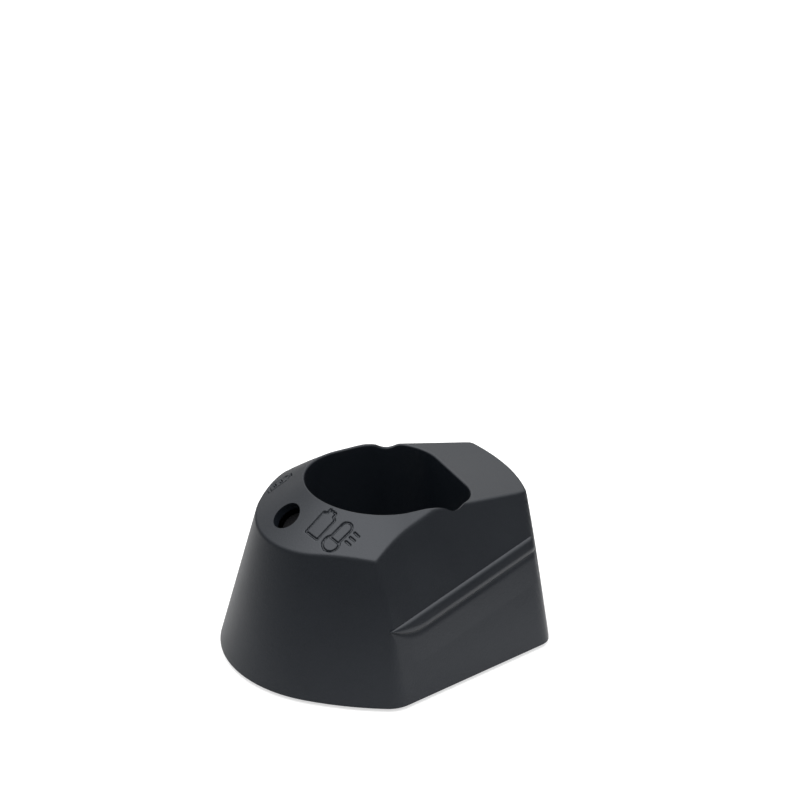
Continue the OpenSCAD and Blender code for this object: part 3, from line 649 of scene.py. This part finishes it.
def side_rib(side):
    """A flat strip up the upper panel, with a skirt on the side panel below it. The
    lower edge swings up to the upper one at the tip, like a boat's bow, where the whole
    section shrinks with the width. At the rear it falls away along a quarter circle."""
    along = rib_stations()
    run = along + RIB_TIP
    upper = RIB_UP + run * math.tan(RIB_RISE)
    bow = 1 - (1 - np.clip(run / (BOW_L * RIB_W), 0, 1)) ** BOW_POWER
    width = RIB_W * np.clip(bow, RIB_LEAST, 1)
    arcs = RIB_LOW_R * math.sin(RIB_LOW_ARC) + RIB_TOP_R * math.sin(RIB_TOP_ARC)
    shrink = np.clip(width / (RIB_SHRINK * arcs), 0, 1)
    low, top, section_out = rib_section(shrink)
    skirt_up = upper - width - SKIRT_AT[:, None] * shrink
    skirt_out = side_depth(*panel_point(along, skirt_up)) + skirt_swell()[:, None] * shrink
    fall = np.clip(1 - (RIB_END - along) / RIB_FALL, 0, 1)
    drop = RIB_DROP * (1 - np.sqrt(1 - fall ** 2))
    drop[-1] = CLOSE_DROP
    x, y, z = panel_point(along, np.vstack([skirt_up, upper - width + low, upper - top]),
                          np.vstack([skirt_out, section_out]) - drop)
    verts = np.stack([x * side, y, z + RIM], axis=-1)
    faces = grid_faces(*x.shape, wrap=False)
    if side > 0:
        faces = faces[:, ::-1]
    name = "rib_right" if side > 0 else "rib_left"
    return new_object(name, verts.reshape(-1, 3), faces.tolist())


# ---- Materials --------------------------------------------------------------------------

DRIFT, ROUGH_DRIFT = 0.12, 0.08                # of colour, as a share, and of roughness
CELL_SCALE = 0.55                              # the grain's cells, against its noise
BUMP_DEPTH = 0.0001


def node(tree, kind, inputs=(), **props):
    """Adds a node, sets its properties, and its sockets from values or links."""
    made = tree.nodes.new(kind)
    for key, value in props.items():
        setattr(made, key, value)
    for key, value in dict(inputs).items():
        sock = made.inputs[key]
        if isinstance(value, bpy.types.NodeSocket):
            tree.links.new(value, sock)
        else:
            sock.default_value = value
    return made


def maths(tree, operation, a, b):
    """Output of a Math node."""
    return node(tree, "ShaderNodeMath", {0: a, 1: b}, operation=operation).outputs[0]


def mixed(tree, share, low, high):
    """Output that goes from one colour to the other as the share goes from 0 to 1."""
    mix = node(tree, "ShaderNodeMix", {0: share, 6: (*low, 1), 7: (*high, 1)},
               data_type="RGBA")
    return mix.outputs[2]


def grain_group():
    """Spark-eroded mould grain: coarser cells added to a fine noise, and a slow drift."""
    tree = bpy.data.node_groups.new("mould_grain", "ShaderNodeTree")
    sockets = (("Vector", "INPUT", "NodeSocketVector"), ("Scale", "INPUT", "NodeSocketFloat"),
               ("Height", "OUTPUT", "NodeSocketFloat"), ("Drift", "OUTPUT", "NodeSocketFloat"))
    for label, in_out, kind in sockets:
        tree.interface.new_socket(label, in_out=in_out, socket_type=kind)
    given = tree.nodes.new("NodeGroupInput").outputs
    fine = node(tree, "ShaderNodeTexNoise", {
        "Vector": given["Vector"], "Scale": given["Scale"], "Detail": 3.0,
        "Roughness": 0.6})
    cells = node(tree, "ShaderNodeTexVoronoi", {
        "Vector": given["Vector"],
        "Scale": maths(tree, "MULTIPLY", given["Scale"], CELL_SCALE)}, feature="SMOOTH_F1")
    slow = node(tree, "ShaderNodeTexNoise", {
        "Vector": given["Vector"], "Scale": 45.0, "Detail": 4.0, "Roughness": 0.55})
    node(tree, "NodeGroupOutput", {
        "Height": maths(tree, "ADD", fine.outputs[0], cells.outputs["Distance"]),
        "Drift": slow.outputs[0]})
    return tree


GRAIN = grain_group()


def principled(name):
    """A new material, its node tree, its Principled BSDF and its Object coordinates."""
    mat = bpy.data.materials.new(name)
    mat.use_nodes = True
    tree = mat.node_tree
    coord = node(tree, "ShaderNodeTexCoord")
    return mat, tree, tree.nodes["Principled BSDF"], coord.outputs["Object"]


def material(name, color, roughness, metallic=0.0, grain=0.0, scale=3000.0, **sockets):
    """A Principled material with the mould grain as bump, and its colour and roughness
    drifting slowly over the surface."""
    mat, tree, bsdf, place = principled(name)
    grains = node(tree, "ShaderNodeGroup", {"Vector": place, "Scale": scale},
                  node_tree=GRAIN)
    low = [c * (1 - DRIFT) for c in color]
    high = [min(c * (1 + DRIFT), 1) for c in color]
    tint = mixed(tree, grains.outputs["Drift"], low, high)
    tree.links.new(tint, bsdf.inputs["Base Color"])
    rough = node(tree, "ShaderNodeMapRange", {
        "Value": grains.outputs["Drift"], "To Min": roughness - ROUGH_DRIFT,
        "To Max": roughness + ROUGH_DRIFT})
    tree.links.new(rough.outputs[0], bsdf.inputs["Roughness"])
    bsdf.inputs["Metallic"].default_value = metallic
    for key, value in sockets.items():
        bsdf.inputs[key.replace("_", " ")].default_value = value
    if grain > 0:
        bump = node(tree, "ShaderNodeBump", {
            "Height": grains.outputs["Height"], "Strength": grain, "Distance": BUMP_DEPTH})
        tree.links.new(bump.outputs[0], bsdf.inputs["Normal"])
    return mat


HOUSING = material("housing_plastic", (0.0058, 0.0078, 0.0110), 0.36, grain=0.2,
                   scale=4500.0, Specular_Tint=(0.92, 0.945, 1.0, 1.0))
BLACK_RESIN = (0.015, 0.015, 0.016)
FINISHES = {
    "base_plate": material("base_plastic", (0.030, 0.031, 0.034), 0.6, grain=0.4),
    "rubber_feet": material("foot_rubber", (0.02, 0.02, 0.02), 0.85, grain=0.6),
    "housing_screws": material("zinc_steel", (0.55, 0.55, 0.56), 0.35, metallic=1.0),
    "circuit_board": material("solder_mask", (0.03, 0.16, 0.07), 0.35),
    "board_screws": material("plated_brass", (0.75, 0.65, 0.40), 0.3, metallic=1.0),
    "insulation_sheet": material("insulation_film", (0.7, 0.62, 0.40), 0.3),
    "mains_inlet": material("inlet_plastic", (0.015, 0.015, 0.017), 0.55, grain=0.3),
    "inlet_pins": material("pin_metal", (0.75, 0.73, 0.68), 0.25, metallic=1.0),
    "fuse": material("fuse_plastic", (0.14, 0.06, 0.035), 0.5),
    "suppression_choke": material("copper_wire", (0.60, 0.27, 0.10), 0.35, metallic=0.8),
    "line_capacitor": material("capacitor_case", (0.65, 0.45, 0.04), 0.4),
    "bridge_rectifier": material("chip_resin", BLACK_RESIN, 0.6, grain=0.3),
    "input_capacitor": material("blue_sleeve", (0.02, 0.025, 0.07), 0.3),
    "switching_transistor": material("transistor_resin", BLACK_RESIN, 0.6),
    "heat_sink": material("rolled_aluminium", (0.72, 0.73, 0.75), 0.3, metallic=1.0),
    "transformer_core": material("sintered_ferrite", (0.045, 0.045, 0.05), 0.7, grain=0.5),
    "transformer_winding": material("winding_tape", (0.7, 0.55, 0.05), 0.35),
    "safety_capacitor": material("blue_lacquer", (0.04, 0.14, 0.45), 0.3),
    "optocoupler": material("white_resin", (0.75, 0.75, 0.72), 0.5),
    "output_rectifier": material("rectifier_resin", BLACK_RESIN, 0.6),
    "output_capacitors": material("green_sleeve", (0.02, 0.09, 0.07), 0.3),
    "charge_controller": material("controller_resin", BLACK_RESIN, 0.6),
    "terminal_block": material("block_plastic", (0.05, 0.05, 0.055), 0.5, grain=0.2),
    "positive_blade": material("blade_metal", (0.80, 0.76, 0.66), 0.28, metallic=1.0),
    "status_led": material("led_resin", (0.8, 0.8, 0.76), 0.2),
    # painted shade: the lens is near black with weakened reflections, so the deep indicator
    # hole reads dark
    "light_pipe": material("lens_painted_shade", (0.008, 0.008, 0.009), 0.5,
                           Specular_IOR_Level=0.12),
}
FINISHES["negative_blade"] = FINISHES["sense_blades"] = FINISHES["positive_blade"]


def dress(obj, mat):
    """Gives an object, new or from the frame, one finish."""
    for place in obj.material_slots:
        place.material = mat
    if not obj.material_slots:
        obj.data.materials.append(mat)


# ---- Floor, light and camera, in metres -------------------------------------------------

FLOOR_HALF = 3.0
FLOOR_NEAR, FLOOR_FAR = (0.5, 0.5, 0.5), (0.05, 0.05, 0.05)
FLOOR_LIFT = 0.6                               # own light that the camera alone sees
LIT_NEAR, LIT_FAR = 0.07, 0.27                 # between these the lit floor fades out
CARD_GLOW = 0.75                               # own light of the card, in reflections
CARD_TOWARDS = (0.68, 0.73, 0.0)
CARD_FROM, CARD_TO = -0.05, 0.12               # it fades in between these

# The studio's brightness by the height of a direction (sine of its elevation): dark at
# the horizon, an even ring of walls, and a wide light above
STUDIO = ((0.0, 0.10), (0.12, 0.20), (0.33, 0.62), (0.5, 0.7), (0.68, 1.45), (0.92, 2.75))

# The camera: its directions, then its sizes in millimetres
CAMERA_AZ, CAMERA_EL = math.radians(62.31), math.radians(28.25)
CAMERA_ANCHOR = (-9.735, 10.64, RIM)
CAMERA_OFF, CAMERA_UP = 1113.9, 50.63
SENSOR, LENS = 36.0, 198.0


def floor_material():
    """White near the object. Reflections see it end in the dark further off and see
    a brighter card to the right and behind; the camera sees it white all over."""
    mat, tree, bsdf, place = principled("floor_white")
    bsdf.inputs["Roughness"].default_value = 0.9
    bsdf.inputs["Emission Color"].default_value = (1, 1, 1, 1)
    away = node(tree, "ShaderNodeVectorMath", {0: place}, operation="LENGTH")
    far = node(tree, "ShaderNodeMapRange", {
        "Value": away.outputs["Value"], "From Min": LIT_NEAR, "From Max": LIT_FAR})
    far = far.outputs[0]
    tree.links.new(mixed(tree, far, FLOOR_NEAR, FLOOR_FAR), bsdf.inputs["Base Color"])
    side = node(tree, "ShaderNodeVectorMath", {0: place, 1: CARD_TOWARDS},
                operation="DOT_PRODUCT")
    card = node(tree, "ShaderNodeMapRange", {
        "Value": side.outputs["Value"], "From Min": CARD_FROM, "From Max": CARD_TO,
        "To Max": CARD_GLOW}, interpolation_type="SMOOTHSTEP")
    rays = node(tree, "ShaderNodeLightPath").outputs
    near = maths(tree, "SUBTRACT", 1.0, far)
    card = maths(tree, "MULTIPLY", card.outputs[0], near)
    card = maths(tree, "MULTIPLY", card, rays["Is Glossy Ray"])
    lift = maths(tree, "ADD", far, FLOOR_LIFT)
    lift = maths(tree, "MULTIPLY", lift, rays["Is Camera Ray"])
    tree.links.new(maths(tree, "ADD", lift, card), bsdf.inputs["Emission Strength"])
    return mat


def floor():
    """A wide level floor under the feet."""
    wide = 2 * FLOOR_HALF / MM
    corners = np.column_stack([rect_ring(wide, wide), np.zeros(4)])
    obj = new_object("floor", corners, [(0, 1, 2, 3)], smooth=False)
    dress(obj, floor_material())


def studio():
    """The world's light: a colour ramp over the height of the direction."""
    world = bpy.data.worlds.new("studio")
    bpy.context.scene.world = world
    world.use_nodes = True
    tree = world.node_tree
    coord = node(tree, "ShaderNodeTexCoord")
    parts = node(tree, "ShaderNodeSeparateXYZ", {"Vector": coord.outputs["Generated"]})
    ramp = node(tree, "ShaderNodeValToRGB", {"Fac": parts.outputs["Z"]})
    stops = ramp.color_ramp.elements
    while len(stops) < len(STUDIO):
        stops.new(0.5)
    for stop, (height, glow) in zip(stops, STUDIO):
        stop.position = height
        stop.color = (glow, glow, glow, 1)
    tree.links.new(ramp.outputs["Color"], tree.nodes["Background"].inputs["Color"])


def softbox(name, place, target, size, power):
    """A square area lamp aimed at a point."""
    data = bpy.data.lights.new(name, "AREA")
    data.shape, data.size, data.energy = "SQUARE", size, power
    lamp = bpy.data.objects.new(name, data)
    lamp.location = place
    aim = Vector(np.subtract(target, place).tolist())
    lamp.rotation_euler = aim.to_track_quat("-Z", "Y").to_euler()
    bpy.context.scene.collection.objects.link(lamp)


def camera():
    """A long lens that looks down at the nose and the right side, with no roll. Its place
    is the anchor moved away along the view and up across it."""
    sin_az, cos_az = math.sin(CAMERA_AZ), math.cos(CAMERA_AZ)
    sin_el, cos_el = math.sin(CAMERA_EL), math.cos(CAMERA_EL)
    right = np.array([cos_az, sin_az, 0])
    up = np.array([-sin_az * sin_el, cos_az * sin_el, cos_el])
    toward = np.array([sin_az * cos_el, -cos_az * cos_el, sin_el])
    place = (np.array(CAMERA_ANCHOR) + CAMERA_OFF * toward + CAMERA_UP * up) * MM
    data = bpy.data.cameras.new("camera")
    data.sensor_width, data.sensor_fit, data.lens = SENSOR, "HORIZONTAL", LENS
    cam = bpy.data.objects.new("camera", data)
    turn = Matrix(np.column_stack([right, up, toward]).tolist())
    cam.matrix_world = Matrix.Translation(place.tolist()) @ turn.to_4x4()
    bpy.context.scene.collection.objects.link(cam)
    bpy.context.scene.camera = cam


# ---- The scene --------------------------------------------------------------------------

shell = housing_shell()
dress(shell, HOUSING)
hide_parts("upper_housing")
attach(shell, "root")

for side in (1, -1):
    rib = side_rib(side)
    dress(rib, HOUSING)
    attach(rib, "root")

for name, finish in FINISHES.items():
    dress(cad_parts[name], finish)

floor()
studio()
softbox("overhead", (-0.05, -0.10, 0.85), target=(0, 0, 0), size=0.95, power=0.8)
softbox("far_left", (-1.0, 0.28, 0.36), target=(0, 0, 0.02), size=0.95, power=1.1)
camera()
bpy.context.scene.view_settings.view_transform = "Standard"
